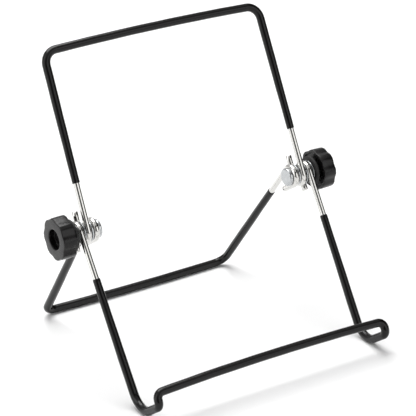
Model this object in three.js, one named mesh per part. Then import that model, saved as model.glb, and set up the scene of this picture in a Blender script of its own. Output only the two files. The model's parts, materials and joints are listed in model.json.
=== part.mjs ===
// Folding wire stand that holds a photo album open on a table.
//
// Three U-shaped frames of vinyl-coated steel wire turn on two clamp bolts that share one axis:
//   the lower frame stands on its heels, and its feet climb to a lip at the front,
//   the upper frame leans back and carries the album's back,
//   the rear leg swings out behind as a strut.
// Each wire end is bare and bent into a loop round its bolt. A lobed knob on each bolt clamps the loops.
//
// Millimetres, +Z up, the lip faces -Y, and x = 0 is the plane of symmetry. The origin is on the floor, at
// the middle of the stand's bounding box.

import * as THREE from 'three';

const { degToRad, radToDeg } = THREE.MathUtils;

// ---------------------------------------------------------------- driving dimensions (mm, degrees)

// wire and coat
const WIRE_RADIUS = 2.0;
const COAT_RADIUS = 2.6;
const COAT_BORE = 2.2;                  // inside radius of the vinyl coat
const WIRE_SIDES = 12;                  // flats round the wire; one faces straight down on a level run

// hinge axis and the angles of the frames at rest
const PIVOT_HEIGHT = 92.3;
const UPPER_RECLINE = 27.0;             // upper frame, back from vertical
const LOWER_RECLINE = 33.5;             // lower frame's legs, feet forward of vertical
const REAR_SPREAD = 37.1;               // rear leg, back from vertical

// upper frame
const UPPER_LENGTH = 113.7;             // bolt axis to the middle of the top bar
const UPPER_HINGE_X = 80.9;             // half width at the hinge
const UPPER_BAR_X = 79.5;               // half width at the top bar
const UPPER_CORNER = 9;                 // bend radius on the wire's centreline
const UPPER_BOW = 1.1;                  // rise of the bar's middle above its ends
const UPPER_BARE = 30.2;                // bolt axis to the end of the coat, along the leg

// lower frame
const LOWER_HINGE_X = 86.1;
const LOWER_HEEL_X = 84.8;
const LOWER_LIP_X = 84.9;
const LOWER_BARE = 30.8;
const HEEL_BEND = 13.4;                 // bend that rests on the floor
const FOOT_RISE = 34.9;                 // climb of each foot towards the front
const FOOT_LENGTH = 28.5;               // corner to corner
const TOE_BEND = 4.3;
const LIP_RECLINE = 30.3;               // lip, back from vertical
const LIP_LENGTH = 8.4;                 // toe corner to the middle of the lip bar
const LIP_CORNER = 4.4;
const LIP_BOW = 1.6;

// rear leg
const REAR_HINGE_X = 75.2;
const REAR_BAR_X = 71.0;
const REAR_CORNER = 8;
const REAR_BOW = -1.2;                  // the bar's middle sits forward of its ends
const REAR_BARE = 27;

// loops round the bolts
const BOLT_RADIUS = 3.0;                // M6
const LOOP_CLEARANCE = 1.0;
const HALF_LOOP = 180;                  // upper and lower wires turn half way round the bolt
const REAR_LOOP = 201;
const UPPER_TAIL = 13.5;                // straight free end past the loop
const LOWER_TAIL = 11;
const REAR_TAIL = 12;

// clamp stack, as distances from x = 0
const FIT_GAP = 0.3;                    // clearance between pieces that touch when clamped
const HEAD_RADIUS = 6.0;
const HEAD_THICKNESS = 2.3;
const SPACER_RADIUS = 7.0;
const SHIM_RADIUS = 7.4;
const FLAT_WASHER_RADIUS = 7.6;
const FLAT_WASHER_THICKNESS = 0.9;
const RUBBER_WASHER_RADIUS = 10.2;
const RUBBER_WASHER_THICKNESS = 1.7;

// knob
const KNOB_RADIUS = 13.9;
const KNOB_LENGTH = 9.2;                // lobed head only
const KNOB_EDGE = 0.6;                  // bevel at both ends of the head
const KNOB_LOBES = 8;
const KNOB_FLUTE = 0.8;                 // depth of the hollow between two lobes
const KNOB_TURN = 15;                   // a hollow's place as clamped, degrees from the top
const KNOB_TAPER = 0.2;                 // how much less the rim's radius is at the outer face
const KNOB_NECK_RADIUS = 5.8;
const KNOB_NECK_LENGTH = 1.4;
const KNOB_RECESS_RADIUS = 6.6;         // blind recess in the outer face
const KNOB_RECESS_DEPTH = 4.0;
const INSERT_RADIUS = 4.4;              // threaded steel insert moulded into the knob
const INSERT_LENGTH = 5.2;
const THREAD_CLEARANCE = 0.3;

// steps of the curved surfaces
const BEND_STEP = 18;                   // degrees of bend per step
const BOW_STEPS = 4;                    // steps along half a bowed bar
const ROUND_SIDES = 30;
const KNOB_SIDES = 48;

// ---------------------------------------------------------------- worked out from the above

const LOOP_RADIUS = BOLT_RADIUS + LOOP_CLEARANCE + WIRE_RADIUS;
const spacerInner = REAR_HINGE_X + WIRE_RADIUS + FIT_GAP;
const spacerOuter = UPPER_HINGE_X - WIRE_RADIUS - FIT_GAP;
const shimInner = UPPER_HINGE_X + WIRE_RADIUS + FIT_GAP;
const shimOuter = LOWER_HINGE_X - WIRE_RADIUS - FIT_GAP;
const headInner = REAR_HINGE_X - WIRE_RADIUS - FIT_GAP;
const flatInner = LOWER_HINGE_X + WIRE_RADIUS + FIT_GAP;
const rubberInner = flatInner + FLAT_WASHER_THICKNESS + FIT_GAP;
const neckInner = rubberInner + RUBBER_WASHER_THICKNESS + FIT_GAP;
const knobInner = neckInner + KNOB_NECK_LENGTH;
const knobOuter = knobInner + KNOB_LENGTH;
const insertInner = neckInner + FIT_GAP;
const insertOuter = insertInner + INSERT_LENGTH;
const boltEnd = insertOuter - FIT_GAP;

// ---------------------------------------------------------------- materials

const chrome = () => new THREE.MeshStandardMaterial({ color: 0xd9dadb, roughness: 0.12, metalness: 1 });
const zincSteel = () => new THREE.MeshStandardMaterial({ color: 0xb9bcbf, roughness: 0.3, metalness: 1 });
const vinyl = () => new THREE.MeshStandardMaterial({ color: 0x1c1a1b, roughness: 0.3, metalness: 0 });
const knobPlastic = () => new THREE.MeshStandardMaterial({ color: 0x2a2829, roughness: 0.45, metalness: 0 });
const rubber = () => new THREE.MeshStandardMaterial({ color: 0x161516, roughness: 0.7, metalness: 0 });

// ---------------------------------------------------------------- wire runs

const vec = (x, y, z) => new THREE.Vector3(x, y, z);

// A wire's centreline as a list of stations, each a point with its tangent. An extrusion along it takes one
// step from station to station, so a straight costs one step. The cross-section's first axis starts as
// `facing` at the middle station and is carried outward to both ends without twist.
class WireCurve extends THREE.Curve {

	constructor(stations, facing) {

		super();
		this.stations = stations;
		this.facing = facing;

	}

	station(u) {

		return this.stations[Math.round(u * (this.stations.length - 1))];

	}

	getPoint(u) {

		return this.station(u).point.clone();

	}

	getPointAt(u) {

		return this.getPoint(u);

	}

	computeFrenetFrames() {

		const tangents = this.stations.map(station => station.tangent.clone());
		const middle = (tangents.length - 1) / 2;
		const normals = [];
		normals[middle] = this.facing.clone();
		for (let i = middle; i > 0; i--) {

			normals[i - 1] = carried(normals[i], tangents[i], tangents[i - 1]);

		}

		for (let i = middle; i < tangents.length - 1; i++) {

			normals[i + 1] = carried(normals[i], tangents[i], tangents[i + 1]);

		}

		const binormals = tangents.map((tangent, i) => vec(0, 0, 0).crossVectors(tangent, normals[i]));
		return { tangents, normals, binormals };

	}

}

// A normal turned by the same rotation that takes one tangent to the next.
function carried(normal, from, to) {

	const turn = new THREE.Quaternion().setFromUnitVectors(from, to);
	return normal.clone().applyQuaternion(turn);

}

// Stations of an arc that starts at `start` along `direction` and turns `angle` degrees about `axis`.
function arcStations(start, direction, axis, angle, radius) {

	const steps = Math.ceil(Math.abs(angle) / BEND_STEP);
	const outward = vec(0, 0, 0).crossVectors(direction, axis).multiplyScalar(Math.sign(angle));
	const centre = start.clone().addScaledVector(outward, -radius);
	return Array.from({ length: steps + 1 }, (_, i) => {

		const turn = degToRad(angle * i / steps);
		const point = outward.clone().applyAxisAngle(axis, turn).multiplyScalar(radius).add(centre);
		return { point, tangent: direction.clone().applyAxisAngle(axis, turn) };

	});

}

// Stations along straight lines between corners, with each inner corner rounded to its bend radius.
function bentRun(corners, radii) {

	const heading = (a, b) => b.clone().sub(a).normalize();
	const stations = [{ point: corners[0].clone(), tangent: heading(corners[0], corners[1]) }];
	radii.forEach((radius, i) => {

		const before = heading(corners[i], corners[i + 1]);
		const after = heading(corners[i + 1], corners[i + 2]);
		const turn = before.angleTo(after);
		const axis = vec(0, 0, 0).crossVectors(before, after).normalize();
		const start = corners[i + 1].clone().addScaledVector(before, -radius * Math.tan(turn / 2));
		stations.push(...arcStations(start, before, axis, radToDeg(turn), radius));

	});
	return stations;

}

// Half of a bowed crossbar, from the end of its bend to the middle: the bow is a parabola along `rise`.
function bowedBar(bendEnd, rise, bow) {

	return Array.from({ length: BOW_STEPS }, (_, i) => {

		const along = (i + 1) / BOW_STEPS;
		const point = bendEnd.clone().setX(bendEnd.x * (1 - along));
		return { point: point.addScaledVector(rise, bow * (1 - (1 - along) ** 2)), tangent: vec(-1, 0, 0) };

	});

}

// The wire's free end: its tail, then the loop round the bolt as far as the point where the leg leaves it.
// The bolt lies along X through (y, z) = (0, 0), and `leave` is that point's angle from +Y towards +Z.
function loopStations(x, leave, turn, tail) {

	const polar = angle => vec(0, Math.cos(degToRad(angle)), Math.sin(degToRad(angle)));
	const start = polar(leave + turn).multiplyScalar(LOOP_RADIUS).setX(x);
	const direction = polar(leave + turn - Math.sign(turn) * 90);
	const tailEnd = { point: start.clone().addScaledVector(direction, -tail), tangent: direction };
	return [tailEnd, ...arcStations(start, direction, vec(1, 0, 0), -turn, LOOP_RADIUS)];

}

// The right half of a symmetrical wire, from its free end to the middle of its bar, made whole.
function mirrored(half) {

	const left = half.slice(0, -1).reverse().map(({ point, tangent }) => ({
		point: vec(-point.x, point.y, point.z),
		tangent: vec(tangent.x, -tangent.y, -tangent.z),
	}));
	return [...half, ...left];

}

// Corners of a wire's section whose flats lie `radius` from its centre.
function sectionPoints(radius) {

	const corner = radius / Math.cos(Math.PI / WIRE_SIDES);
	return Array.from({ length: WIRE_SIDES }, (_, i) => {

		const angle = (i + 0.5) * 2 * Math.PI / WIRE_SIDES;
		return new THREE.Vector2(corner * Math.cos(angle), corner * Math.sin(angle));

	});

}

function sweep(shape, half, facing) {

	const stations = mirrored(half);
	const extrudePath = new WireCurve(stations, facing);
	return new THREE.ExtrudeGeometry(shape, { steps: stations.length - 1, extrudePath });

}

const wireGeometry = (half, facing) => sweep(new THREE.Shape(sectionPoints(WIRE_RADIUS)), half, facing);

function coatGeometry(half, facing) {

	const shape = new THREE.Shape(sectionPoints(COAT_RADIUS));
	shape.holes.push(new THREE.Path(sectionPoints(COAT_BORE)));
	return sweep(shape, half, facing);

}

// ---------------------------------------------------------------- frames

function namedMesh(name, geometry, material) {

	const mesh = new THREE.Mesh(geometry, material);
	mesh.name = name;
	return mesh;

}

// The point `distance` along the line from `from` to `to`, counted from `from`.
const pointAlong = (from, to, distance) => from.clone().lerp(to, distance / from.distanceTo(to));

// One frame: a steel wire with a loop at each end, and the vinyl coat over all of it but the loops.
// `corners` runs down one leg from the loop to the bar's virtual corner, then to the bar's middle.
function wireFrame(name, { corners, radii, bare, loop, rise, bow, facing }) {

	const fromPoint = point => {

		const run = bentRun([point, ...corners.slice(1)], radii);
		return [...run, ...bowedBar(run.at(-1).point, rise, bow)];

	};

	const frame = new THREE.Group();
	const wire = [...loop, ...fromPoint(corners[0]).slice(1)];
	const coat = fromPoint(pointAlong(corners[0], corners[1], bare));
	frame.add(namedMesh(`${name}_wire`, wireGeometry(wire, facing), chrome()));
	frame.add(namedMesh(`${name}_vinyl_coat`, coatGeometry(coat, facing), vinyl()));
	return frame;

}

// Legs straight up from the bolts, in front of them, then leaned back about the bolt axis.
function upperFrame() {

	const frame = wireFrame('upper', {
		corners: [
			vec(UPPER_HINGE_X, -LOOP_RADIUS, 0),
			vec(UPPER_BAR_X, -LOOP_RADIUS, UPPER_LENGTH),
			vec(0, -LOOP_RADIUS, UPPER_LENGTH),
		],
		radii: [UPPER_CORNER],
		bare: UPPER_BARE,
		loop: loopStations(UPPER_HINGE_X, 180, HALF_LOOP, UPPER_TAIL),
		rise: vec(0, 0, 1),
		bow: UPPER_BOW,
		facing: vec(0, -1, 0),
	});
	frame.rotation.x = -degToRad(UPPER_RECLINE);
	return frame;

}

// Height of the heel's virtual corner that sets the coat under its bend on the floor.
function heelHeight() {

	const halfTurn = degToRad((90 - LOWER_RECLINE + FOOT_RISE) / 2);
	const tilt = degToRad((90 - LOWER_RECLINE - FOOT_RISE) / 2);
	return COAT_RADIUS + HEEL_BEND * (1 - Math.cos(tilt) / Math.cos(halfTurn));

}

// Legs slant forward to the floor, climb forward as feet, and turn back and up into the lip.
function lowerFrame() {

	const recline = degToRad(LOWER_RECLINE);
	const rise = degToRad(FOOT_RISE);
	const lip = vec(0, Math.sin(degToRad(LIP_RECLINE)), Math.cos(degToRad(LIP_RECLINE)));
	const top = vec(LOWER_HINGE_X, -LOOP_RADIUS * Math.cos(recline), LOOP_RADIUS * Math.sin(recline));
	const heelZ = heelHeight() - PIVOT_HEIGHT;
	const heel = vec(LOWER_HEEL_X, top.y - (top.z - heelZ) * Math.tan(recline), heelZ);
	const toe = heel.clone().addScaledVector(vec(0, -Math.cos(rise), Math.sin(rise)), FOOT_LENGTH);
	toe.setX(LOWER_LIP_X);
	const lipEnd = toe.clone().addScaledVector(lip, LIP_LENGTH);
	return wireFrame('lower', {
		corners: [top, heel, toe, lipEnd, lipEnd.clone().setX(0)],
		radii: [HEEL_BEND, TOE_BEND, LIP_CORNER],
		bare: LOWER_BARE,
		loop: loopStations(LOWER_HINGE_X, 180 - LOWER_RECLINE, -HALF_LOOP, LOWER_TAIL),
		rise: lip,
		bow: LIP_BOW,
		facing: lip,
	});

}

// Length of the rear leg, from the bolt axis to its bar, that sets the bar on the floor.
function rearLength() {

	const spread = degToRad(REAR_SPREAD);
	return (PIVOT_HEIGHT + LOOP_RADIUS * Math.sin(spread) - COAT_RADIUS) / Math.cos(spread);

}

// Legs straight down from the bolts, behind them, then swung back about the bolt axis.
function rearLeg() {

	const spread = degToRad(REAR_SPREAD);
	const length = rearLength();
	const level = vec(0, Math.cos(spread), -Math.sin(spread));
	const up = vec(0, Math.sin(spread), Math.cos(spread));
	const frame = wireFrame('rear', {
		corners: [
			vec(REAR_HINGE_X, LOOP_RADIUS, 0),
			vec(REAR_BAR_X, LOOP_RADIUS, -length),
			vec(0, LOOP_RADIUS, -length),
		],
		radii: [REAR_CORNER],
		bare: REAR_BARE,
		loop: loopStations(REAR_HINGE_X, 0, REAR_LOOP, REAR_TAIL),
		rise: level,
		bow: REAR_BOW,
		facing: up,
	});
	frame.rotation.x = spread;
	return frame;

}

// ---------------------------------------------------------------- clamps

// A turned piece on the bolt axis: each point of its profile is [radius, distance from x = 0].
function turned(profile, sides = ROUND_SIDES) {

	return new THREE.LatheGeometry(profile.map(([radius, along]) => new THREE.Vector2(radius, along)), sides);

}

function washer(inner, outer, radius) {

	const bore = BOLT_RADIUS + FIT_GAP;
	return turned([[bore, inner], [radius, inner], [radius, outer], [bore, outer], [bore, inner]]);

}

// Cheese-head bolt, headed on the inside of the stand.
function boltGeometry() {

	const bevel = 0.7;
	const face = headInner - HEAD_THICKNESS;
	return turned([
		[0, face],
		[HEAD_RADIUS - bevel, face],
		[HEAD_RADIUS, face + bevel],
		[HEAD_RADIUS, headInner],
		[BOLT_RADIUS, headInner],
		[BOLT_RADIUS, boltEnd - bevel],
		[BOLT_RADIUS - bevel, boltEnd],
		[0, boltEnd],
	]);

}

function insertGeometry() {

	const bore = BOLT_RADIUS + THREAD_CLEARANCE;
	return turned([
		[bore, insertInner],
		[INSERT_RADIUS, insertInner],
		[INSERT_RADIUS, insertOuter],
		[bore, insertOuter],
		[bore, insertInner],
	]);

}

// How far the knob's rim is hollowed at an angle: a shallow parabola between each pair of lobes.
function fluteDepth(angle) {

	const pitch = 2 * Math.PI / KNOB_LOBES;
	const halfFlute = 0.36 * pitch;
	const turn = angle - degToRad(KNOB_TURN);
	const offset = turn - pitch * Math.round(turn / pitch);
	return KNOB_FLUTE * Math.max(0, 1 - (offset / halfFlute) ** 2);

}

function knobGeometry() {

	const bore = INSERT_RADIUS + FIT_GAP;
	const boreEnd = insertOuter + FIT_GAP;
	const recessFloor = knobOuter - KNOB_RECESS_DEPTH;
	const geometry = turned([
		[0, boreEnd],
		[bore, boreEnd],
		[bore, neckInner],
		[KNOB_NECK_RADIUS, neckInner],
		[KNOB_NECK_RADIUS, knobInner],
		[KNOB_RADIUS - KNOB_EDGE, knobInner],
		[KNOB_RADIUS, knobInner + KNOB_EDGE],
		[KNOB_RADIUS - KNOB_TAPER, knobOuter - KNOB_EDGE],
		[KNOB_RADIUS - KNOB_TAPER - KNOB_EDGE, knobOuter],
		[KNOB_RECESS_RADIUS, knobOuter],
		[KNOB_RECESS_RADIUS, recessFloor],
		[0, recessFloor],
	], KNOB_SIDES);
	const position = geometry.attributes.position;
	for (let i = 0; i < position.count; i++) {

		const radius = Math.hypot(position.getX(i), position.getZ(i));
		if (radius < KNOB_RADIUS - 2 * KNOB_EDGE) continue;
		const scale = 1 - fluteDepth(Math.atan2(position.getX(i), position.getZ(i))) / radius;
		position.setX(i, position.getX(i) * scale);
		position.setZ(i, position.getZ(i) * scale);

	}

	return geometry;

}

// Everything on one bolt. A turned piece is made along +Y, so the clamp is laid over towards its side.
function clamp(side, sign) {

	const group = new THREE.Group();
	group.add(namedMesh(`${side}_bolt`, boltGeometry(), zincSteel()));
	group.add(namedMesh(`${side}_spacer_washer`, washer(spacerInner, spacerOuter, SPACER_RADIUS), zincSteel()));
	group.add(namedMesh(`${side}_shim_washer`, washer(shimInner, shimOuter, SHIM_RADIUS), zincSteel()));
	group.add(namedMesh(
		`${side}_flat_washer`,
		washer(flatInner, flatInner + FLAT_WASHER_THICKNESS, FLAT_WASHER_RADIUS),
		zincSteel(),
	));
	group.add(namedMesh(
		`${side}_rubber_washer`,
		washer(rubberInner, rubberInner + RUBBER_WASHER_THICKNESS, RUBBER_WASHER_RADIUS),
		rubber(),
	));
	group.add(namedMesh(`${side}_knob`, knobGeometry(), knobPlastic()));
	group.add(namedMesh(`${side}_knob_insert`, insertGeometry(), zincSteel()));
	group.rotation.z = -sign * Math.PI / 2;
	return group;

}

// ---------------------------------------------------------------- assembly

const stand = new THREE.Group();
stand.add(lowerFrame(), upperFrame(), rearLeg(), clamp('left', -1), clamp('right', 1));
const extent = new THREE.Box3().setFromObject(stand, true);
stand.position.set(0, -(extent.min.y + extent.max.y) / 2, PIVOT_HEIGHT);

export default stand;
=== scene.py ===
"""A folding wire stand for a photo album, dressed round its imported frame.

Three U-shaped wires, chrome plated and dipped in black vinyl, turn on two clamp bolts that share one axis.
Each class below builds one sub-assembly in millimetres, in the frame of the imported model, and puts its meshes
on the bodies they move with.
"""

import json
import logging
import math
from dataclasses import dataclass, field
from enum import Enum

import bpy
import numpy as np
from mathutils import Matrix, Vector


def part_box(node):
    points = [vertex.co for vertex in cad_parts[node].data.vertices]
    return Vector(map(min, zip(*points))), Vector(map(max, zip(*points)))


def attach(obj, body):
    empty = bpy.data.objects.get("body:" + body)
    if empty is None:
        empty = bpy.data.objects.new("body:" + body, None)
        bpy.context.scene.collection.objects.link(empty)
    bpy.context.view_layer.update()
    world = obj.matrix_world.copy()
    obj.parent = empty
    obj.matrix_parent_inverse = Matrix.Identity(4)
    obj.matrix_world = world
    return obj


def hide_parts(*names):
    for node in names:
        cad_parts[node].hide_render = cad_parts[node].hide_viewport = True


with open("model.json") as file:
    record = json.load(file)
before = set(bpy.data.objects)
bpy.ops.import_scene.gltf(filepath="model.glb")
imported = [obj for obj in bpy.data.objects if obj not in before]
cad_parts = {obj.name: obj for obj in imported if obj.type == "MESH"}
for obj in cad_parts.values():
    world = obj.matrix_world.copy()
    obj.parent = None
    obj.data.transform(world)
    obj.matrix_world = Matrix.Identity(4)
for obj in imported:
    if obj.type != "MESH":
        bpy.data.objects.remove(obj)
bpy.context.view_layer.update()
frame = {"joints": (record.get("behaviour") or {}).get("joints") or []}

LOG = logging.getLogger("album_stand")
Array = np.ndarray
Span = tuple[float, float]

MM = 0.001
FIT_GAP = 0.3
WIRE_RADIUS = 2.0
BOLT_RADIUS = 3.0
LOOP_RADIUS = 6.0
BORE_RADIUS = 2.02

# Spacing in mm of the dense points on a centreline, and points on each rounded corner of a turned outline.
DENSE_STEP = 0.25
CORNER_STEPS = 5

# Distance after which a wave texture of scale one repeats.
WAVE_PERIOD = 0.314

X_AXIS = np.array([1.0, 0.0, 0.0])
Z_AXIS = np.array([0.0, 0.0, 1.0])


class Side(Enum):
    """Which end of the bolt axis a clamp is on; the value is the sign of its x."""

    LEFT = -1
    RIGHT = 1

    @property
    def word(self) -> str:
        """The side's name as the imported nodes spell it."""
        return self.name.lower()


# ---------------------------------------------------------------- materials


def linear(colour: str) -> tuple[float, float, float, float]:
    """An sRGB hex colour as linear RGBA.

    Each channel c becomes c / 12.92 below 0.04045, and ((c + 0.055) / 1.055) to the power 2.4 above it.

    Args:
        colour: the colour as "#rrggbb".

    Returns:
        Red, green, blue and an alpha of one.
    """
    channels = [int(colour[i : i + 2], 16) / 255 for i in (1, 3, 5)]
    values = [c / 12.92 if c <= 0.04045 else ((c + 0.055) / 1.055) ** 2.4 for c in channels]
    return (values[0], values[1], values[2], 1.0)


def scale_of(size_mm: float) -> float:
    """The scale that gives a noise pattern cells of a size in mm: one over the size in metres."""
    return 1 / (size_mm * MM)


def ramp(value: bpy.types.NodeSocket, start: float, end: float, low: float, high: float) -> dict:
    """The inputs of a range that takes value from low to high as it goes from start to end."""
    return {"Value": value, "From Min": start, "From Max": end, "To Min": low, "To Max": high}


def add_node(tree: bpy.types.NodeTree, kind: str, inputs: dict, **settings) -> bpy.types.Node:
    """Adds one shader node with its settings and links.

    Args:
        tree: the node tree that gets the node.
        kind: the node's type, without the leading "ShaderNode".
        inputs: input socket name or number to a value, or to the output socket that feeds it.
        settings: the node's own properties.

    Returns:
        The new node.
    """
    node = tree.nodes.new("ShaderNode" + kind)
    for name, value in settings.items():
        setattr(node, name, value)
    for key, value in inputs.items():
        if isinstance(value, bpy.types.NodeSocket):
            tree.links.new(value, node.inputs[key])
        else:
            node.inputs[key].default_value = value
    return node


def new_material(name: str) -> tuple[bpy.types.Material, bpy.types.NodeTree]:
    """A named material and its node tree, which is empty."""
    material = bpy.data.materials.new(name)
    material.use_nodes = True
    material.node_tree.nodes.clear()
    return material, material.node_tree


@dataclass(frozen=True)
class ChromePlate:
    """Bright chrome plated on cold-drawn steel wire.

    The plate is a near mirror. The drawing die leaves faint lines along the wire that stretch its
    reflections, and handling leaves a thin haze in patches. The lines are drawn coarser than real ones, so that
    they show.
    """

    name: str = "chrome_plated_drawn_wire"
    colour: str = "#d9d8d5"
    roughness: float = 0.07
    haze: float = 0.08
    haze_mm: float = 9.0
    die_line_mm: float = 0.5
    die_line_depth_mm: float = 0.004
    die_line_stretch: float = 0.02

    def material(self) -> bpy.types.Material:
        """Builds the material; the wire's own UV runs along it and round it, in metres."""
        material, tree = new_material(self.name)
        along = add_node(tree, "UVMap", {}, uv_map="wire").outputs["UV"]
        stretched = add_node(tree, "Mapping", {"Vector": along, "Scale": (self.die_line_stretch, 1.0, 1.0)})
        lines = add_node(
            tree,
            "TexNoise",
            {"Vector": stretched.outputs["Vector"], "Scale": scale_of(self.die_line_mm), "Detail": 2.0},
        )
        place = add_node(tree, "TexCoord", {}).outputs["Object"]
        patches = add_node(
            tree, "TexNoise", {"Vector": place, "Scale": scale_of(self.haze_mm), "Detail": 3.0}
        )
        hazed = ramp(patches.outputs["Fac"], 0.35, 0.75, self.roughness, self.roughness + self.haze)
        depth = self.die_line_depth_mm * MM
        relief = add_node(tree, "Bump", {"Height": lines.outputs["Fac"], "Strength": 0.35, "Distance": depth})
        surface = add_node(
            tree,
            "BsdfPrincipled",
            {
                "Base Color": linear(self.colour),
                "Metallic": 1.0,
                "Roughness": add_node(tree, "MapRange", hazed).outputs["Result"],
                "Normal": relief.outputs["Normal"],
            },
        )
        add_node(tree, "OutputMaterial", {"Surface": surface.outputs["BSDF"]})
        return material


@dataclass(frozen=True)
class ZincPlate:
    """Bright zinc plate on turned steel, for the bolts, the washers and the knobs' bushes.

    The lathe leaves fine rings round the bolt axis, drawn coarser than real ones so that they show. Zinc is
    softer and a little bluer than chrome, and its plate has a cloudy, uneven gloss.
    """

    name: str = "zinc_plated_turned_steel"
    colour: str = "#c9cbcc"
    cloud_colour: str = "#a9acae"
    roughness: float = 0.16
    cloud_roughness: float = 0.3
    ring_mm: float = 0.9
    ring_depth_mm: float = 0.006
    cloud_mm: float = 2.2

    def material(self, axis_mm: Array) -> bpy.types.Material:
        """Builds the material.

        Args:
            axis_mm: a point on the bolt axis, the centre of the turning rings.

        Returns:
            The material.
        """
        material, tree = new_material(self.name)
        place = add_node(tree, "TexCoord", {}).outputs["Object"]
        centred = add_node(
            tree, "Mapping", {"Vector": place, "Location": tuple(-axis_mm * MM)}, vector_type="POINT"
        )
        rings = add_node(
            tree,
            "TexWave",
            {
                "Vector": centred.outputs["Vector"],
                "Scale": WAVE_PERIOD * scale_of(self.ring_mm),
                "Distortion": 0.6,
                "Detail": 2.0,
            },
            wave_type="RINGS",
            rings_direction="X",
        )
        cloud = add_node(
            tree, "TexNoise", {"Vector": place, "Scale": scale_of(self.cloud_mm), "Detail": 4.0}
        ).outputs["Fac"]
        mixed = {"Factor": cloud, "A": linear(self.colour), "B": linear(self.cloud_colour)}
        gloss = ramp(cloud, 0.3, 0.7, self.roughness, self.cloud_roughness)
        depth = self.ring_depth_mm * MM
        relief = add_node(tree, "Bump", {"Height": rings.outputs["Fac"], "Strength": 0.5, "Distance": depth})
        surface = add_node(
            tree,
            "BsdfPrincipled",
            {
                "Base Color": add_node(tree, "Mix", mixed, data_type="RGBA").outputs["Result"],
                "Metallic": 1.0,
                "Roughness": add_node(tree, "MapRange", gloss).outputs["Result"],
                "Normal": relief.outputs["Normal"],
            },
        )
        add_node(tree, "OutputMaterial", {"Surface": surface.outputs["BSDF"]})
        return material


@dataclass(frozen=True)
class DippedVinyl:
    """Black PVC that the hot wire was dipped in.

    Plastisol fuses to a glossy, slightly rubbery skin. It flows before it sets, so its surface has a gentle
    orange peel and its gloss dulls in patches where it was handled. The IOR is under PVC's usual 1.53, which
    keeps the coat deep black between its highlights.
    """

    name: str = "dipped_black_vinyl"
    colour: str = "#090808"
    worn_colour: str = "#100e0e"
    ior: float = 1.36
    roughness: float = 0.13
    dull_roughness: float = 0.24
    peel_mm: float = 2.6
    peel_depth_mm: float = 0.02
    pore_mm: float = 0.35
    pore_depth_mm: float = 0.004
    patch_mm: float = 14.0

    def material(self) -> bpy.types.Material:
        """Builds the material, on Object coordinates."""
        material, tree = new_material(self.name)
        place = add_node(tree, "TexCoord", {}).outputs["Object"]
        peel = add_node(tree, "TexNoise", {"Vector": place, "Scale": scale_of(self.peel_mm), "Detail": 1.0})
        pores = add_node(tree, "TexNoise", {"Vector": place, "Scale": scale_of(self.pore_mm), "Detail": 2.0})
        worn = add_node(
            tree, "TexNoise", {"Vector": place, "Scale": scale_of(self.patch_mm), "Detail": 5.0}
        ).outputs["Fac"]
        mixed = {"Factor": worn, "A": linear(self.colour), "B": linear(self.worn_colour)}
        gloss = ramp(worn, 0.35, 0.7, self.roughness, self.dull_roughness)
        depth = self.peel_depth_mm * MM
        skin = add_node(tree, "Bump", {"Height": peel.outputs["Fac"], "Strength": 0.6, "Distance": depth})
        relief = add_node(
            tree,
            "Bump",
            {
                "Height": pores.outputs["Fac"],
                "Strength": 0.4,
                "Distance": self.pore_depth_mm * MM,
                "Normal": skin.outputs["Normal"],
            },
        )
        surface = add_node(
            tree,
            "BsdfPrincipled",
            {
                "Base Color": add_node(tree, "Mix", mixed, data_type="RGBA").outputs["Result"],
                "Roughness": add_node(tree, "MapRange", gloss).outputs["Result"],
                "IOR": self.ior,
                "Normal": relief.outputs["Normal"],
            },
        )
        add_node(tree, "OutputMaterial", {"Surface": surface.outputs["BSDF"]})
        return material


@dataclass(frozen=True)
class MouldedPlastic:
    """Black glass-filled nylon, injection moulded in a spark-eroded tool, for the knobs.

    The tool leaves a fine even grain that spreads the highlights, and the flow of the melt leaves slow
    changes of gloss. The IOR is under nylon's usual 1.53, which keeps the flanks near black.
    """

    name: str = "moulded_black_nylon"
    colour: str = "#0b0a0a"
    light_colour: str = "#131112"
    ior: float = 1.38
    roughness: float = 0.2
    flow_roughness: float = 0.32
    grain_mm: float = 0.3
    grain_depth_mm: float = 0.012
    flow_mm: float = 7.0

    def material(self) -> bpy.types.Material:
        """Builds the material; the grain is drawn about twice its real size so that it shows."""
        material, tree = new_material(self.name)
        place = add_node(tree, "TexCoord", {}).outputs["Object"]
        grain = add_node(tree, "TexNoise", {"Vector": place, "Scale": scale_of(self.grain_mm), "Detail": 3.0})
        flow = add_node(
            tree,
            "TexNoise",
            {"Vector": place, "Scale": scale_of(self.flow_mm), "Detail": 2.0, "Distortion": 0.6},
        ).outputs["Fac"]
        mixed = {"Factor": flow, "A": linear(self.colour), "B": linear(self.light_colour)}
        gloss = ramp(flow, 0.3, 0.7, self.roughness, self.flow_roughness)
        depth = self.grain_depth_mm * MM
        relief = add_node(tree, "Bump", {"Height": grain.outputs["Fac"], "Strength": 0.5, "Distance": depth})
        surface = add_node(
            tree,
            "BsdfPrincipled",
            {
                "Base Color": add_node(tree, "Mix", mixed, data_type="RGBA").outputs["Result"],
                "Roughness": add_node(tree, "MapRange", gloss).outputs["Result"],
                "IOR": self.ior,
                "Normal": relief.outputs["Normal"],
            },
        )
        add_node(tree, "OutputMaterial", {"Surface": surface.outputs["BSDF"]})
        return material


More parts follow.
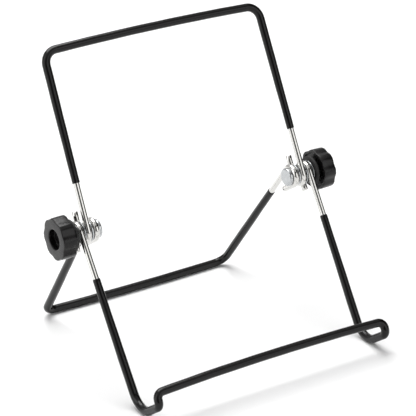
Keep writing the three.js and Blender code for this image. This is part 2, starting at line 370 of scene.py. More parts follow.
@dataclass(frozen=True)
class SheetRubber:
    """Black nitrile rubber, stamped from sheet, for the washers under the knobs.

    It is nearly matt, with the soft mottle of the press plates and a dusting of grey bloom.
    """

    name: str = "stamped_black_rubber"
    colour: str = "#111011"
    bloom_colour: str = "#1a1919"
    ior: float = 1.52
    roughness: float = 0.62
    mottle_mm: float = 0.8
    mottle_depth_mm: float = 0.03

    def material(self) -> bpy.types.Material:
        """Builds the material, on Object coordinates."""
        material, tree = new_material(self.name)
        place = add_node(tree, "TexCoord", {}).outputs["Object"]
        mottle = add_node(
            tree, "TexNoise", {"Vector": place, "Scale": scale_of(self.mottle_mm), "Detail": 3.0}
        ).outputs["Fac"]
        mixed = {"Factor": mottle, "A": linear(self.colour), "B": linear(self.bloom_colour)}
        depth = self.mottle_depth_mm * MM
        relief = add_node(tree, "Bump", {"Height": mottle, "Strength": 0.5, "Distance": depth})
        surface = add_node(
            tree,
            "BsdfPrincipled",
            {
                "Base Color": add_node(tree, "Mix", mixed, data_type="RGBA").outputs["Result"],
                "Roughness": self.roughness,
                "IOR": self.ior,
                "Normal": relief.outputs["Normal"],
            },
        )
        add_node(tree, "OutputMaterial", {"Surface": surface.outputs["BSDF"]})
        return material


# ---------------------------------------------------------------- surfaces


def unit(vectors: Array) -> Array:
    """Each row divided by its length."""
    return vectors / np.linalg.norm(vectors, axis=-1, keepdims=True)


def smooth_step(value: Array) -> Array:
    """Three t squared minus two t cubed, with t held between zero and one."""
    t = np.clip(value, 0.0, 1.0)
    return t * t * (3.0 - 2.0 * t)


def grid_faces(rows: int, columns: int, closed_rows: bool, poles: bool) -> list[list[int]]:
    """Faces over a grid of vertices numbered row by row, whose columns always wrap round.

    Args:
        rows: how many rings the grid has.
        columns: how many vertices each ring has.
        closed_rows: whether the last ring joins the first.
        poles: whether two more vertices close the first and the last ring.

    Returns:
        Quads, and triangles at the poles, with their normals away from the inside of the rings.
    """
    i, j = np.meshgrid(np.arange(rows if closed_rows else rows - 1), np.arange(columns), indexing="ij")
    after, beside = (i + 1) % rows * columns, (j + 1) % columns
    quads = np.stack([i * columns + j, i * columns + beside, after + beside, after + j], axis=-1)
    faces = quads.reshape(-1, 4).tolist()
    if poles:
        ring = np.arange(columns)
        turned = (ring + 1) % columns
        last = (rows - 1) * columns
        first_pole = np.full(columns, rows * columns)
        faces += np.stack([first_pole, turned, ring], axis=-1).tolist()
        faces += np.stack([first_pole + 1, last + ring, last + turned], axis=-1).tolist()
    return faces


@dataclass
class Piece:
    """One finished mesh and where it belongs."""

    name: str
    body: str
    slot: str
    replaces: tuple[str, ...]
    material: bpy.types.Material

    def build(
        self, grid: Array, closed_rows: bool = False, poles: Array | None = None, uv: Array | None = None
    ) -> bpy.types.Object:
        """Puts a grid of points into a smooth mesh that rides on its body.

        Args:
            grid: points in mm, one row for each ring.
            closed_rows: whether the last ring joins the first.
            poles: the two points in mm that close the first and the last ring.
            uv: distance along and round in mm for each grid point, one column more than the grid.

        Returns:
            The object.
        """
        rows, columns = grid.shape[:2]
        points = grid.reshape(-1, 3)
        if poles is not None:
            points = np.vstack([points, poles])
        mesh = bpy.data.meshes.new(self.name)
        faces = grid_faces(rows, columns, closed_rows, poles is not None)
        mesh.from_pydata((points * MM).tolist(), [], faces)
        mesh.polygons.foreach_set("use_smooth", np.ones(len(mesh.polygons), dtype=bool))
        if uv is not None:
            self._unwrap(mesh, uv * MM, rows, columns)
        mesh.materials.append(self.material)
        mesh.update()
        piece = bpy.data.objects.new(self.name, mesh)
        bpy.context.scene.collection.objects.link(piece)
        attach(piece, self.body)
        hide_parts(*self.replaces)
        self._report(points)
        return piece

    @staticmethod
    def _unwrap(mesh: bpy.types.Mesh, uv: Array, rows: int, columns: int) -> None:
        """Writes the wire's UV: a face corner takes its own vertex's place, or the seam's far edge.

        Args:
            mesh: the mesh that gets the UV map.
            uv: rows by columns plus one places, in metres.
            rows: how many rings the grid has.
            columns: how many vertices each ring has.
        """
        layer = mesh.uv_layers.new(name="wire")
        corners = np.zeros(len(mesh.loops), dtype=np.int64)
        mesh.loops.foreach_get("vertex_index", corners)
        row = np.minimum(corners // columns, rows - 1)
        column = corners % columns
        quads = (rows - 1) * columns
        second = np.zeros(len(corners), dtype=bool)
        second[: quads * 4] = np.tile([False, True, True, False], quads)
        column = np.where(second & (column == 0), columns, column)
        layer.data.foreach_set("uv", uv[row, column].astype(np.float32).ravel())

    def _report(self, points: Array) -> None:
        """Logs the piece's size and how far its box stands from the box of the nodes it replaces."""
        low, high = points.min(axis=0), points.max(axis=0)
        boxes = [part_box(node) for node in self.replaces]
        node_low = np.min([np.array(box[0]) for box in boxes], axis=0) / MM
        node_high = np.max([np.array(box[1]) for box in boxes], axis=0) / MM
        apart = max(np.abs(low - node_low).max(), np.abs(high - node_high).max())
        LOG.info("%s: %.1f x %.1f x %.1f mm, %.2f mm from its node's box", self.name, *(high - low), apart)


def turn_about_x(points: Array, degrees: float) -> Array:
    """Points turned about the X axis: y' = y cos a - z sin a, z' = y sin a + z cos a."""
    c, s = math.cos(math.radians(degrees)), math.sin(math.radians(degrees))
    return points @ np.array([[1, 0, 0], [0, c, s], [0, -s, c]])


def arc(start: Array, heading: Array, axis: Array, degrees: float, radius: float) -> Array:
    """Points of an arc that leaves a point along a heading.

    With h the heading, o = h x axis the way out of the bend and r the radius, the point after turning by a is
    start - r o + r (o cos a + h sin a), for a positive turn about the axis.

    Args:
        start: first point.
        heading: unit direction of travel at the first point.
        axis: unit axis of the turn.
        degrees: how far it turns; negative turns the other way.
        radius: the arc's radius.

    Returns:
        The points, about a quarter of a millimetre apart.
    """
    sign = math.copysign(1.0, degrees)
    outward = np.cross(heading, axis) * sign
    count = max(4, int(math.radians(abs(degrees)) * radius / DENSE_STEP))
    angles = np.linspace(0, math.radians(abs(degrees)), count)[:, None]
    return start - radius * outward + radius * (outward * np.cos(angles) + heading * np.sin(angles))


def straight(start: Array, end: Array) -> Array:
    """Points from start to end, about a quarter of a millimetre apart."""
    count = max(2, int(np.linalg.norm(end - start) / DENSE_STEP))
    return start + (end - start) * np.linspace(0, 1, count)[:, None]


def bent(corners: Array, radii: tuple[float, ...]) -> tuple[Array, Array]:
    """A line through corners, each inner one rounded to its bend radius.

    A bend of angle a and radius r starts r tan(a / 2) before its corner.

    Args:
        corners: the virtual corners.
        radii: bend radius at each inner corner.

    Returns:
        The points as far as the end of the last bend, and the unit normal of the last bend's plane.
    """
    parts = []
    here = corners[0]
    normal = X_AXIS
    for before, corner, after, radius in zip(corners, corners[1:], corners[2:], radii):
        heading, leaving = unit(corner - before), unit(after - corner)
        normal = unit(np.cross(heading, leaving))
        turn = math.degrees(math.acos(float(heading @ leaving)))
        start = corner - heading * radius * math.tan(math.radians(turn / 2))
        bend = arc(start, heading, normal, turn, radius)
        parts += [straight(here, start)[:-1], bend]
        here = bend[-1]
    return np.vstack(parts), normal


@dataclass
class Centreline:
    """A wire's centreline as a dense run of points, with one direction square to it at every point."""

    points: Array
    sides: Array
    along: Array = field(init=False)

    def __post_init__(self) -> None:
        """Measures the distance along the line, after points that repeat are dropped."""
        steps = np.linalg.norm(np.diff(self.points, axis=0), axis=1)
        keep = np.concatenate([[True], steps > 1e-6])
        self.points, self.sides = self.points[keep], self.sides[keep]
        steps = np.linalg.norm(np.diff(self.points, axis=0), axis=1)
        self.along = np.concatenate([[0.0], np.cumsum(steps)])

    @property
    def length(self) -> float:
        """Distance from one end to the other, in mm."""
        return float(self.along[-1])

    def at(self, places: Array) -> tuple[Array, Array, Array]:
        """The line at given distances from its start.

        The tangent is the slope of the points over the distance along, and the first cross axis is the side
        made square to it.

        Args:
            places: distances in mm.

        Returns:
            Points, first cross axes and second cross axes, one row for each place.
        """
        slope = np.gradient(self.points, self.along, axis=0)
        points, tangents, sides = (
            np.stack([np.interp(places, self.along, rows[:, k]) for k in range(3)], axis=-1)
            for rows in (self.points, slope, self.sides)
        )
        tangents = unit(tangents)
        first = unit(sides - (sides * tangents).sum(axis=1, keepdims=True) * tangents)
        return points, first, np.cross(tangents, first)

    def stations(self, low: float, high: float, step: float, bend_step: float) -> Array:
        """Distances along the line that crowd where it bends.

        Their density is one over the step, plus the curvature over the bend step.

        Args:
            low: first distance.
            high: last distance.
            step: spacing on a straight, in mm.
            bend_step: turn from station to station in a bend, in degrees.

        Returns:
            The distances.
        """
        slope = np.gradient(self.points, self.along, axis=0)
        curvature = np.linalg.norm(np.gradient(slope, self.along, axis=0), axis=1)
        density = 1 / step + curvature / math.radians(bend_step)
        total = np.concatenate([[0.0], np.cumsum((density[1:] + density[:-1]) / 2 * np.diff(self.along))])
        first, last = np.interp([low, high], self.along, total)
        return np.interp(np.linspace(first, last, int(last - first) + 2), total, self.along)

    def tube(self, places: Array, radius: Array, sides: int) -> Array:
        """A tube round the line: each ring is its point plus r (cos a) first axis plus r (sin a) second axis.

        Args:
            places: the rings' distances along the line.
            radius: one radius for each ring, or one for each ring and side.
            sides: vertices in a ring.

        Returns:
            Rings by sides points.
        """
        points, first, second = (rows[:, None] for rows in self.at(places))
        angle = ring_angles(sides)[None, :, None]
        radius = np.broadcast_to(radius.reshape(len(places), -1), (len(places), sides))[..., None]
        return points + radius * (np.cos(angle) * first + np.sin(angle) * second)


def ring_angles(sides: int) -> Array:
    """Equal angles round one ring, in radians."""
    return np.arange(sides) * 2 * math.pi / sides


# ---------------------------------------------------------------- frames


@dataclass
class WireFrame:
    """One bent wire with a loop at each end, and the vinyl over all of it but its two ends.

    Lengths are in mm and angles in degrees. Its shape is worked out with the bolt axis at the origin, for the
    half at positive x, and mirrored.
    """

    name: str
    body: str
    pivot: Array
    lean: float
    hinge_x: float
    bar_x: float
    bends: tuple[float, ...]
    bow: float
    bare: float
    leave: float
    loop: float
    tail: float
    wave_phase: float
    coat_end_radius: float = 2.45
    coat_bar_radius: float = 2.7
    coat_edge: float = 0.45
    coat_run: float = 60.0

    def corners(self) -> Array:
        """Virtual corners from the loop's end to the middle of the bar."""
        raise NotImplementedError

    def rise(self) -> Array:
        """Unit direction in which the bar's middle stands off its ends."""
        raise NotImplementedError

    def tilt(self) -> float:
        """How far the whole frame is turned about the bolt axis once it is shaped, in degrees."""
        return 0.0

    def loop_points(self) -> Array:
        """The free tail and the loop round the bolt, as far as the point where the leg leaves it."""
        first = math.radians(self.leave + self.loop)
        heading_angle = first - math.copysign(math.pi / 2, self.loop)
        heading = np.array([0, math.cos(heading_angle), math.sin(heading_angle)])
        start = np.array([self.hinge_x, LOOP_RADIUS * math.cos(first), LOOP_RADIUS * math.sin(first)])
        return np.vstack([
            straight(start - heading * self.tail, start)[:-1],
            arc(start, heading, X_AXIS, -self.loop, LOOP_RADIUS),
        ])

    def centreline(self) -> Centreline:
        """The whole wire from tail to tail.

        The bar's bow is a parabola. The side direction is X along the legs; through the last bend and along
        the bar it is the tangent crossed with the bend's normal, which meets it without a twist.
        """
        leg, normal = bent(self.corners(), self.bends)
        end = leg[-1]
        share = np.linspace(0, 1, int(end[0] / DENSE_STEP))[1:, None]
        stand_off = self.rise() * self.bow * (1 - (1 - share) ** 2)
        bar = end * [0, 1, 1] + X_AXIS * end[0] * (1 - share) + stand_off
        loop = self.loop_points()
        half = np.vstack([loop, leg[1:], bar])
        slope = unit(np.gradient(half, axis=0))
        across = np.cross(slope, normal)
        last_bend = len(loop) + len(leg) - int(math.pi / 2 * self.bends[-1] / DENSE_STEP) - 2
        sides = np.where((np.arange(len(half)) < last_bend)[:, None], X_AXIS, across)
        mirror = np.array([-1.0, 1.0, 1.0])
        points = np.vstack([half, (half * mirror)[-2::-1]])
        sides = np.vstack([sides, (sides * mirror)[-2::-1]])
        place = self.pivot
        return Centreline(turn_about_x(points, self.tilt()) + place, turn_about_x(sides, self.tilt()))

    def coat_start(self) -> float:
        """Distance along the wire from its free end to the end of the coat."""
        return self.tail + math.radians(abs(self.loop)) * LOOP_RADIUS + self.bare

    def build_wire(self, material: bpy.types.Material, chamfer: float = 0.35, sides: int = 28) -> None:
        """The plated wire, with its sheared ends chamfered.

        Args:
            material: the chrome.
            chamfer: width of the chamfer at each end.
            sides: vertices round the wire.
        """
        line = self.centreline()
        inner = line.stations(chamfer, line.length - chamfer, 3.0, 6.0)
        places = np.concatenate([[0.0], inner, [line.length]])
        radius = np.full(len(places), WIRE_RADIUS)
        radius[[0, -1]] -= chamfer
        grid = line.tube(places, radius, sides)
        ends = line.at(np.array([0.0, line.length]))[0]
        round_place = np.arange(sides + 1) * 2 * math.pi * WIRE_RADIUS / sides
        uv = np.stack(np.meshgrid(places, round_place, indexing="ij"), axis=-1)
        piece = Piece(f"{self.name}_plated_wire", self.body, "chrome", (f"{self.name}_wire",), material)
        piece.build(grid, poles=ends, uv=uv)

    def coat_radius(self, places: Array, low: float, high: float, sides: int) -> Array:
        """Outside radius of the coat, for each ring and side.

        It grows over coat_run from the ends towards the bar, where the dip ran thickest. It waves by a few
        hundredths of a millimetre, a sum of sines of the distance along and the angle round: a sway, an oval
        and a slow bulge. It rounds over at both ends in a quarter circle.

        Args:
            places: the rings' distances along the wire.
            low: distance of the coat's first end.
            high: distance of its last end.
            sides: vertices in a ring.

        Returns:
            The radii in mm.
        """
        inward = np.minimum(places - low, high - places)
        share = smooth_step(inward / self.coat_run)
        thick = self.coat_end_radius + (self.coat_bar_radius - self.coat_end_radius) * share
        angle = ring_angles(sides)[None, :]
        s = places[:, None] + self.wave_phase
        wave = 0.022 * np.sin(s / 5.3 + angle) + 0.018 * np.sin(s / 3.1 - 2 * angle + 1.7)
        wave += 0.03 * np.sin(s / 11.9 + 0.8) * np.sin(angle + s / 31.0)
        edge = np.clip(inward / self.coat_edge, 0.0, 1.0)[:, None]
        swell = np.sqrt(1 - (1 - edge) ** 2)
        return BORE_RADIUS + (thick[:, None] + wave * edge - BORE_RADIUS) * swell

    def build_coat(self, material: bpy.types.Material, sides: int = 36) -> None:
        """The vinyl coat: an outer skin that returns along the bore, so that it is one closed body.

        Args:
            material: the vinyl.
            sides: vertices round the coat.
        """
        line = self.centreline()
        low = self.coat_start()
        high = line.length - low
        lip = self.coat_edge * (1 - np.cos(np.linspace(0, math.pi / 2, 7)))[:-1]
        middle = line.stations(low + self.coat_edge, high - self.coat_edge, 1.6, 5.0)
        places = np.concatenate([low + lip, middle, high - lip[::-1]])
        outer = line.tube(places, self.coat_radius(places, low, high, sides), sides)
        back = line.stations(low + 0.2, high - 0.2, 4.0, 8.0)[::-1]
        bore = line.tube(back, np.full(len(back), BORE_RADIUS), sides)
        piece = Piece(
            f"{self.name}_dipped_coat", self.body, "black_vinyl", (f"{self.name}_vinyl_coat",), material
        )
        piece.build(np.vstack([outer, bore]), closed_rows=True)

    def build(self, chrome: bpy.types.Material, vinyl: bpy.types.Material) -> None:
        """Builds the wire and its coat."""
        self.build_wire(chrome)
        self.build_coat(vinyl)


@dataclass
class UpperFrame(WireFrame):
    """The upside-down U that leans back and carries the album's back."""

    length: float = 113.7

    def corners(self) -> Array:
        """Straight up in front of the bolt, then across."""
        return np.array([
            [self.hinge_x, -LOOP_RADIUS, 0],
            [self.bar_x, -LOOP_RADIUS, self.length],
            [0, -LOOP_RADIUS, self.length],
        ])

    def rise(self) -> Array:
        """The bar bows upward."""
        return Z_AXIS

    def tilt(self) -> float:
        """Leaned back."""
        return -self.lean


@dataclass
class LowerFrame(WireFrame):
    """Two legs that slant forward to the floor, climb forward as feet, and turn back up into the lip bar."""

    heel_x: float = 84.8
    foot_rise: float = 34.9
    foot_length: float = 28.5
    lip_recline: float = 30.3
    lip_length: float = 8.4
    floor_clearance: float = 2.6

    def corners(self) -> Array:
        """Down the leg to the heel, up the foot to the toe, up the lip and across.

        The leg stands at r from vertical and the foot climbs at f, so the heel bend turns by t = 90 - r + f
        and its middle leans forward by a = (90 - r - f) / 2. With its lowest point on the floor and bend radius
        b, the heel's corner is b (cos a / cos (t / 2) - 1) below that point.
        """
        recline, climb = math.radians(self.lean), math.radians(self.foot_rise)
        half_turn = math.radians(90 - self.lean + self.foot_rise) / 2
        middle_lean = math.radians(90 - self.lean - self.foot_rise) / 2
        floor = self.floor_clearance - self.pivot[2]
        heel_z = floor - self.bends[0] * (math.cos(middle_lean) / math.cos(half_turn) - 1)
        top = np.array([self.hinge_x, -LOOP_RADIUS * math.cos(recline), LOOP_RADIUS * math.sin(recline)])
        heel = np.array([self.heel_x, top[1] - (top[2] - heel_z) * math.tan(recline), heel_z])
        toe = heel + self.foot_length * np.array([0, -math.cos(climb), math.sin(climb)])
        toe[0] = self.bar_x
        lip_end = toe + self.lip_length * self.rise()
        return np.array([top, heel, toe, lip_end, lip_end * [0, 1, 1]])

    def rise(self) -> Array:
        """The lip bar bows along the lip."""
        recline = math.radians(self.lip_recline)
        return np.array([0, math.sin(recline), math.cos(recline)])


@dataclass
class RearLeg(WireFrame):
    """The U that swings out behind as a strut."""

    floor_clearance: float = 2.6

    def corners(self) -> Array:
        """Straight down behind the bolt to where the bar meets the floor, then across."""
        c, s = math.cos(math.radians(self.lean)), math.sin(math.radians(self.lean))
        length = (self.pivot[2] + LOOP_RADIUS * s - self.floor_clearance) / c
        return np.array([
            [self.hinge_x, LOOP_RADIUS, 0],
            [self.bar_x, LOOP_RADIUS, -length],
            [0, LOOP_RADIUS, -length],
        ])

    def rise(self) -> Array:
        """The bar bows level, so that it lies on the floor all along."""
        lean = math.radians(self.lean)
        return np.array([0, math.cos(lean), -math.sin(lean)])

    def tilt(self) -> float:
        """Swung back."""
        return self.lean


# ---------------------------------------------------------------- clamps


def rounded(profile: list[tuple[float, float, float]], closed: bool) -> Array:
    """A turned piece's outline with its corners rounded.

    The rounding is a quadratic curve that starts a cut's length before the corner and ends the same length
    after it, with the corner as its middle weight.

    Args:
        profile: radius, distance out from x = 0 and cut of each corner, in mm.
        closed: whether the outline returns to its start; an open one keeps its two ends.

    Returns:
        Points as radius and distance.
    """
    corners = np.array(profile)[:, :2]
    cuts = np.array(profile)[:, 2]
    before, after = unit(np.roll(corners, 1, axis=0) - corners), unit(np.roll(corners, -1, axis=0) - corners)
    share = np.linspace(0, 1, CORNER_STEPS)[None, :, None]
    start, end = corners + before * cuts[:, None], corners + after * cuts[:, None]
    curve = (1 - share) ** 2 * start[:, None] + 2 * share * (1 - share) * corners[:, None]
    curve += share**2 * end[:, None]
    if not closed:
        curve[0], curve[-1] = corners[0], corners[-1]
    points = curve.reshape(-1, 2)
    apart = np.linalg.norm(points - np.roll(points, 1, axis=0), axis=1) > 1e-6
    apart[0] = True
    return points[apart]


@dataclass
class Clamp:
    """Everything on one bolt; distances out from x = 0 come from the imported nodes. Lengths are in mm."""

    side: Side
    pivot: Array
    head_radius: float = 6.0
    head_thickness: float = 2.3
    knob_radius: float = 13.9
    knob_taper: float = 0.2
    lobes: int = 8
    flute_depth: float = 0.85
    flute_share: float = 0.42
    flute_turn: float = 15.0
    recess_radius: float = 6.6
    recess_depth: float = 4.0
    neck_radius: float = 5.8
    neck_length: float = 1.4
    insert_radius: float = 4.4

    def span(self, node: str) -> tuple[float, float]:
        """Least and greatest distance from x = 0 of one of this side's nodes, in mm."""
        low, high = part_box(f"{self.side.word}_{node}")
        return tuple(sorted((abs(low.x) / MM, abs(high.x) / MM)))

    def reach(self, node: str) -> float:
        """Radius of one of this side's turned nodes, in mm."""
        low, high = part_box(f"{self.side.word}_{node}")
        return (high.y - low.y) / 2 / MM

    def turned(self, outline: Array, columns: int) -> Array:
        """An outline turned about the bolt axis: y = r cos a, z = r sin a, x = the distance out.

        On the left the rings run backwards, so that both sides' faces point outwards.

        Args:
            outline: radius and distance out, in mm.
            columns: vertices in a ring.

        Returns:
            Rings by columns points.
        """
        angle = ring_angles(columns)[None, :] * self.side.value
        radius, out = outline[:, :1], outline[:, 1:]
        across = np.broadcast_to(out * self.side.value, (len(outline), columns))
        return np.stack([across, radius * np.cos(angle), radius * np.sin(angle)], axis=-1) + self.pivot

    def axis_point(self, out: float) -> Array:
        """The point on the bolt axis at a distance out from x = 0."""
        return self.pivot + X_AXIS * out * self.side.value

    def piece(self, name: str, body: str, slot: str, node: str, material: bpy.types.Material) -> Piece:
        """A piece of this side that stands for one of its nodes."""
        word = self.side.word
        return Piece(f"{word}_{name}", body.format(side=word), slot, (f"{word}_{node}",), material)

    def build_washer(
        self,
        name: str,
        node: str,
        body: str,
        slot: str,
        material: bpy.types.Material,
        edge: float,
        bore: float,
    ) -> None:
        """A flat ring with rounded edges.

        Args:
            name: the piece's name, without its side.
            node: the node it stands for, without its side.
            body: the body it rides on, with {side} where the side's name goes.
            slot: the record's material slot.
            material: its finish.
            edge: rounding of the outer edges, in mm.
            bore: radius of the hole, in mm.
        """
        inner, outer = self.span(node)
        radius = self.reach(node)
        corners = [(bore, inner, 0.08), (radius, inner, edge), (radius, outer, edge), (bore, outer, 0.08)]
        outline = rounded(corners, closed=True)
        self.piece(name, body, slot, node, material).build(self.turned(outline, 96), closed_rows=True)

    def build_bolt(self, material: bpy.types.Material) -> None:
        """A cheese-head bolt, its head slightly domed and its shank cut with an M6 thread drawn as rings."""
        face, end = self.span("bolt")
        under = face + self.head_thickness
        plain_shank, pitch, depth = 14, 1.0, 0.3
        crests = np.arange(math.ceil(under + plain_shank), math.floor(end - 1), pitch)
        thread = [
            corner
            for crest in crests
            for corner in ((BOLT_RADIUS, crest, 0.05), (BOLT_RADIUS - depth, crest + pitch / 2, 0.05))
        ]
        outline = rounded(
            [
                (0.6, face, 0.0),
                (self.head_radius - 1.6, face + 0.06, 0.5),
                (self.head_radius - 0.5, face + 0.25, 0.3),
                (self.head_radius, face + 0.8, 0.35),
                (self.head_radius, under, 0.15),
                (BOLT_RADIUS, under, 0.1),
                *thread,
                (BOLT_RADIUS, end - 0.7, 0.1),
                (BOLT_RADIUS - 0.7, end, 0.1),
                (0.6, end, 0.0),
            ],
            closed=False,
        )
        poles = np.stack([self.axis_point(face - 0.01), self.axis_point(end)])
        self.piece("cheese_head_bolt", "lower_frame", "zinc_steel", "bolt", material).build(
            self.turned(outline, 96), poles=poles
        )

    def build_insert(self, material: bpy.types.Material) -> None:
        """The threaded bush moulded into the knob, with a knurl that keeps it from turning."""
        inner, outer = self.span("knob_insert")
        bore = BOLT_RADIUS + FIT_GAP
        outline = rounded(
            [
                (bore, inner, 0.1),
                (self.insert_radius, inner, 0.2),
                (self.insert_radius, outer, 0.2),
                (bore, outer, 0.1),
            ],
            closed=True,
        )
        columns, ridges, depth = 144, 48, 0.12
        knurl = depth * (1 - np.abs(np.sin(ring_angles(columns) * ridges / 2)))
        skin = outline[:, :1, None] > self.insert_radius - 0.1
        offset = self.turned(outline, columns) - self.pivot
        offset[..., 1:] *= 1 - knurl[None, :, None] * skin / self.insert_radius
        self.piece("threaded_bush", "{side}_clamp_knob", "zinc_steel", "knob_insert", material).build(
            offset + self.pivot, closed_rows=True
        )

    def flute(self, angle: Array) -> Array:
        """How far the knob's rim is hollowed at each angle: a cosine hump between each pair of lobes.

        With w half a flute's width, the depth at a distance d from the flute's middle is the full depth times
        cos squared of (pi / 2) (d / w), and nothing beyond w.
        """
        pitch = 2 * math.pi / self.lobes
        offset = (angle - math.radians(self.flute_turn) + pitch / 2) % pitch - pitch / 2
        near = np.clip(np.abs(offset) / (self.flute_share * pitch), 0, 1)
        return self.flute_depth * np.cos(math.pi / 2 * near) ** 2

    def build_knob(self, material: bpy.types.Material) -> None:
        """The lobed knob: neck, cored inner face, fluted rim, and a blind recess in the outer face.

        The flutes fade to nothing over the last few millimetres inside the rim.
        """
        neck, outer = self.span("knob")
        inner = neck + self.neck_length
        rim = self.knob_radius
        tip = rim - self.knob_taper
        bore = self.insert_radius + FIT_GAP
        bore_end = self.span("knob_insert")[1] + FIT_GAP
        outline = rounded(
            [
                (0.5, bore_end, 0.0),
                (bore, bore_end, 0.2),
                (bore, neck, 0.1),
                (self.neck_radius, neck, 0.2),
                (self.neck_radius + 0.2, inner + 1.5, 0.3),
                (rim - 2.4, inner + 1.5, 0.4),
                (rim - 1.9, inner, 0.25),
                (rim - 0.05, inner, 0.4),
                (rim, inner + 3.0, 1.0),
                (tip, outer - 1.2, 0.5),
                (tip - 0.2, outer, 0.55),
                (self.recess_radius + 0.6, outer, 0.3),
                (self.recess_radius, outer - 0.25, 0.2),
                (self.recess_radius - 0.1, outer - self.recess_depth, 0.3),
                (0.5, outer - self.recess_depth, 0.0),
            ],
            closed=False,
        )
        columns = 288
        angle = ring_angles(columns) * self.side.value
        grid = self.turned(outline, columns) - self.pivot
        radius = outline[:, :1]
        fade_start, fade_width = rim - 3.2, 2.2
        weight = smooth_step((radius - fade_start) / fade_width)
        grid[..., 1:] *= (1 - self.flute(angle)[None, :] * weight / np.maximum(radius, 1.0))[..., None]
        poles = np.stack([self.axis_point(bore_end), self.axis_point(outer - self.recess_depth)])
        self.piece("lobed_knob", "{side}_clamp_knob", "knob_plastic", "knob", material).build(
            grid + self.pivot, poles=poles
        )

    def build(
        self, zinc: bpy.types.Material, plastic: bpy.types.Material, rubber: bpy.types.Material
    ) -> None:
        """Builds every piece on the bolt, from the inside out."""
        bore = BOLT_RADIUS + FIT_GAP
        self.build_bolt(zinc)
        self.build_washer("spacer_ring", "spacer_washer", "lower_frame", "zinc_steel", zinc, 0.3, bore)
        self.build_washer("shim_ring", "shim_washer", "lower_frame", "zinc_steel", zinc, 0.12, bore)
        self.build_washer("plain_ring", "flat_washer", "{side}_clamp", "zinc_steel", zinc, 0.25, bore)
        self.build_washer("rubber_ring", "rubber_washer", "{side}_clamp", "black_rubber", rubber, 0.5, bore)
        self.build_knob(plastic)
        self.build_insert(zinc)


# ---------------------------------------------------------------- stand


@dataclass
class AlbumStand:
    """The whole stand: three frames on one axis and a clamp at each end of it."""

    pivot: Array

    def layer(self, inner: str, outer: str) -> float:
        """Distance from x = 0 of the loops that sit between two washers of the right clamp, in mm."""
        return (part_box(f"right_{inner}")[1].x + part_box(f"right_{outer}")[0].x) / 2 / MM

    def upper(self) -> UpperFrame:
        """The upper frame as it stands."""
        return UpperFrame(
            name="upper",
            body="upper_frame",
            pivot=self.pivot,
            lean=27.0,
            hinge_x=self.layer("spacer_washer", "shim_washer"),
            bar_x=79.5,
            bends=(9.0,),
            bow=1.1,
            bare=30.2,
            leave=180.0,
            loop=180.0,
            tail=13.5,
            wave_phase=4.0,
        )

    def lower(self) -> LowerFrame:
        """The lower frame as it stands."""
        return LowerFrame(
            name="lower",
            body="lower_frame",
            pivot=self.pivot,
            lean=33.5,
            hinge_x=self.layer("shim_washer", "flat_washer"),
            bar_x=84.9,
            bends=(13.4, 4.3, 4.4),
            bow=1.6,
            bare=30.8,
            leave=146.5,
            loop=-180.0,
            tail=11.0,
            wave_phase=37.0,
            coat_bar_radius=2.72,
        )

    def rear(self) -> RearLeg:
        """The rear leg as it stands."""
        return RearLeg(
            name="rear",
            body="rear_leg",
            pivot=self.pivot,
            lean=37.1,
            hinge_x=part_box("right_spacer_washer")[0].x / MM - FIT_GAP - WIRE_RADIUS,
            bar_x=71.0,
            bends=(8.0,),
            bow=-1.2,
            bare=27.0,
            leave=0.0,
            loop=201.0,
            tail=12.0,
            wave_phase=71.0,
        )

    def build(self) -> None:
        """Makes the finishes and builds every sub-assembly."""
        chrome, vinyl = ChromePlate().material(), DippedVinyl().material()
        zinc = ZincPlate().material(self.pivot)
        plastic, rubber = MouldedPlastic().material(), SheetRubber().material()
        for wire_frame in (self.lower(), self.upper(), self.rear()):
            wire_frame.build(chrome, vinyl)
        for side in Side:
            Clamp(side, self.pivot).build(zinc, plastic, rubber)


# ---------------------------------------------------------------- studio


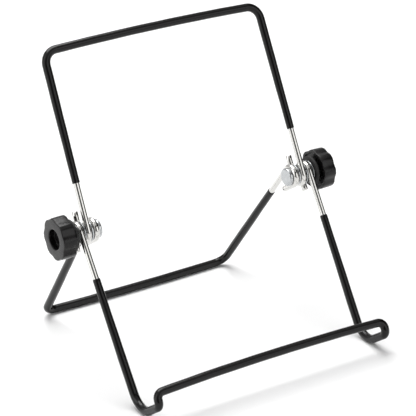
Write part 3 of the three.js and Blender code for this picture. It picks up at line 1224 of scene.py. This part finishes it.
@dataclass(frozen=True)
class Studio:
    """The pale floor, the soft light and the camera. Distances are in metres."""

    target: tuple[float, float, float] = (0.00414, -0.00139, 0.09078)
    azimuth: float = -32.55
    elevation: float = 24.06
    roll: float = -0.62
    distance: float = 1.3529
    lens: float = 184.13
    floor_size: float = 16.0
    floor_drop: float = 0.0002
    floor_colour: str = "#f4f4f4"
    wall_colour: str = "#ffffff"
    flag_colour: str = "#161514"
    wall_strength: float = 0.6
    strip_strength: float = 0.75
    side_strength: float = 1.6
    softbox_place: tuple[float, float, float] = (0.1, 0.8, 2.0)
    softbox_size: float = 1.6
    softbox_power: float = 42.0
    softbox_aim: tuple[float, float, float] = (0.0, 0.0, 0.08)

    def camera(self) -> None:
        """The camera looks at the target from its azimuth and elevation, turned by its roll."""
        a, e, roll = (math.radians(angle) for angle in (self.azimuth, self.elevation, self.roll))
        back = Vector((math.sin(a) * math.cos(e), -math.cos(a) * math.cos(e), math.sin(e)))
        right = (-back).cross(Vector((0, 0, 1))).normalized()
        up = right.cross(-back)
        turned_right = right * math.cos(roll) + up * math.sin(roll)
        turned_up = up * math.cos(roll) - right * math.sin(roll)
        data = bpy.data.cameras.new("camera")
        data.lens = self.lens
        data.sensor_width = 36.0
        data.clip_start, data.clip_end = 0.1, 50.0
        camera = bpy.data.objects.new("camera", data)
        basis = Matrix((turned_right, turned_up, back)).transposed()
        camera.matrix_world = Matrix.Translation(Vector(self.target) + back * self.distance) @ basis.to_4x4()
        bpy.context.scene.collection.objects.link(camera)
        bpy.context.scene.camera = camera

    def floor(self) -> None:
        """A wide matt floor just under the feet."""
        half = self.floor_size / 2
        corners = [(-half, -half), (half, -half), (half, half), (-half, half)]
        mesh = bpy.data.meshes.new("floor")
        mesh.from_pydata([(x, y, -self.floor_drop) for x, y in corners], [], [(0, 1, 2, 3)])
        material, tree = new_material("painted_studio_floor")
        matt = {"Base Color": linear(self.floor_colour), "Roughness": 0.9}
        surface = add_node(tree, "BsdfPrincipled", matt)
        add_node(tree, "OutputMaterial", {"Surface": surface.outputs["BSDF"]})
        mesh.materials.append(material)
        floor = bpy.data.objects.new("floor", mesh)
        bpy.context.scene.collection.objects.link(floor)

    def sky(self) -> None:
        """Pale walls, a black flag in front and on the right with a bright strip in it, and a side light."""
        world = bpy.data.worlds.new("studio")
        bpy.context.scene.world = world
        world.use_nodes = True
        tree = world.node_tree
        tree.nodes.clear()
        direction = add_node(tree, "TexCoord", {}).outputs["Generated"]
        parts = add_node(tree, "SeparateXYZ", {"Vector": direction}).outputs
        front = add_node(tree, "Math", {0: parts["Y"], 1: -1.0}, operation="MULTIPLY").outputs[0]
        azimuth = add_node(tree, "Math", {0: parts["X"], 1: front}, operation="ARCTAN2").outputs[0]

        def window(value: bpy.types.NodeSocket, low: float, high: float, soft: float) -> bpy.types.NodeSocket:
            """One between low and high, falling smoothly to nothing over the soft edge outside them."""
            edges = [
                add_node(tree, "MapRange", edge, interpolation_type="SMOOTHSTEP").outputs["Result"]
                for edge in (ramp(value, low - soft, low, 0.0, 1.0), ramp(value, high, high + soft, 1.0, 0.0))
            ]
            return add_node(tree, "Math", {0: edges[0], 1: edges[1]}, operation="MULTIPLY").outputs[0]

        def panel(sector: Span, band: Span, soft: float) -> bpy.types.NodeSocket:
            """One over a patch of wall between two azimuths in degrees and two heights, nothing elsewhere."""
            across = window(azimuth, math.radians(sector[0]), math.radians(sector[1]), math.radians(soft))
            upward = window(parts["Z"], band[0], band[1], 0.1)
            return add_node(tree, "Math", {0: across, 1: upward}, operation="MULTIPLY").outputs[0]

        flag = panel((-52.0, 128.0), (-0.3, 0.72), 5.0)
        strip = panel((-10.0, 42.0), (0.06, 0.6), 5.0)
        side = panel((-112.0, -84.0), (-0.1, 0.8), 6.0)
        gap = add_node(tree, "Math", {0: 1.0, 1: strip}, operation="SUBTRACT").outputs[0]
        shade = add_node(tree, "Math", {0: flag, 1: gap}, operation="MULTIPLY").outputs[0]
        strength = self.wall_strength
        for lit, extra in ((strip, self.strip_strength), (side, self.side_strength)):
            inputs = {0: lit, 1: extra, 2: strength}
            strength = add_node(tree, "Math", inputs, operation="MULTIPLY_ADD").outputs[0]
        mixed = {"Factor": shade, "A": linear(self.wall_colour), "B": linear(self.flag_colour)}
        colour = add_node(tree, "Mix", mixed, data_type="RGBA").outputs["Result"]
        background = add_node(tree, "Background", {"Color": colour, "Strength": strength})
        add_node(tree, "OutputWorld", {"Surface": background.outputs["Background"]})

    def softbox(self) -> None:
        """A square area light above and behind, which faces the middle of the stand."""
        data = bpy.data.lights.new("overhead_softbox", "AREA")
        data.shape = "SQUARE"
        data.size = self.softbox_size
        data.energy = self.softbox_power
        light = bpy.data.objects.new("overhead_softbox", data)
        place = Vector(self.softbox_place)
        aim = (Vector(self.softbox_aim) - place).to_track_quat("-Z", "Y")
        light.matrix_world = Matrix.Translation(place) @ aim.to_matrix().to_4x4()
        bpy.context.scene.collection.objects.link(light)

    def build(self) -> None:
        """Sets up the studio."""
        self.camera()
        self.floor()
        self.sky()
        self.softbox()
        bpy.context.scene.view_settings.view_transform = "Standard"


def main() -> None:
    """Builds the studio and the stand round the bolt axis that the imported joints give."""
    logging.basicConfig(level=logging.INFO, format="%(name)s: %(message)s")
    joint = next(joint for joint in frame["joints"] if joint["name"] == "upper_fold")
    pivot = np.array(joint["pos_m"]) / MM
    Studio().build()
    AlbumStand(pivot).build()


if __name__ == "__main__":
    main()
